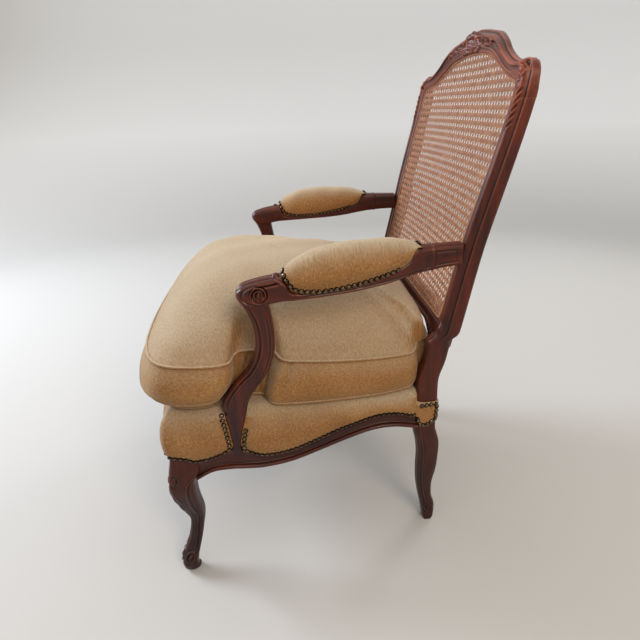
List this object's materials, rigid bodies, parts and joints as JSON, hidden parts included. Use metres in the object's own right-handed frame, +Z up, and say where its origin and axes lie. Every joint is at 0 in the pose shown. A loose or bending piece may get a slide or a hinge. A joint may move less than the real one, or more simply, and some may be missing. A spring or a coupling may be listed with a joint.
{
  "type": "open armchair",
  "caption": "French-style carved armchair with a bowed caned back, padded arms, a nailed deck and a loose seat cushion.",
  "frame": {"origin": "on the floor, under the middle of the chair's bounding box", "axes": "+Z up, -Y the way the chair faces, +X towards the sitter's left"},
  "size_m": [0.6648, 0.738, 1.03],
  "materials": {
    "wood": "mahogany stain under satin varnish",
    "chenille": "ribbed gold cotton chenille",
    "cane": "woven rattan cane, honey stained",
    "jute": "plain jute webbing",
    "foam": "cotton felt over hair stuffing",
    "cambric": "thin black cambric"
  },
  "bodies": {
    "frame": {"front_leg_left": "wood", "front_leg_right": "wood", "rear_post_left": "wood", "rear_post_right": "wood", "front_seat_rail": "wood", "side_seat_rail_left": "wood", "side_seat_rail_right": "wood", "rear_seat_rail": "wood", "arm_support_left": "wood", "arm_support_right": "wood", "armrest_left": "wood", "armrest_right": "wood", "arm_pad_left": "chenille", "arm_pad_right": "chenille", "crest_rail": "wood", "lower_back_rail": "wood", "front_corner_block_left": "wood", "front_corner_block_right": "wood", "rear_corner_block_left": "wood", "rear_corner_block_right": "wood", "strap_across_1": "jute", "strap_across_2": "jute", "strap_across_3": "jute", "strap_across_4": "jute", "strap_across_5": "jute", "strap_along_1": "jute", "strap_along_2": "jute", "strap_along_3": "jute", "strap_along_4": "jute", "strap_along_5": "jute", "dust_cover": "cambric", "cane_panel": "cane", "deck_cover": "chenille", "deck_pad": "foam"},
    "cushion": {"seat_cushion": "chenille"}
  },
  "joints": [
    {"name": "cushion_slide", "type": "slide", "parent": "frame", "child": "cushion", "axis": [0, -0.9397, 0.342], "range_m": [0, 0.62]}
  ]
}
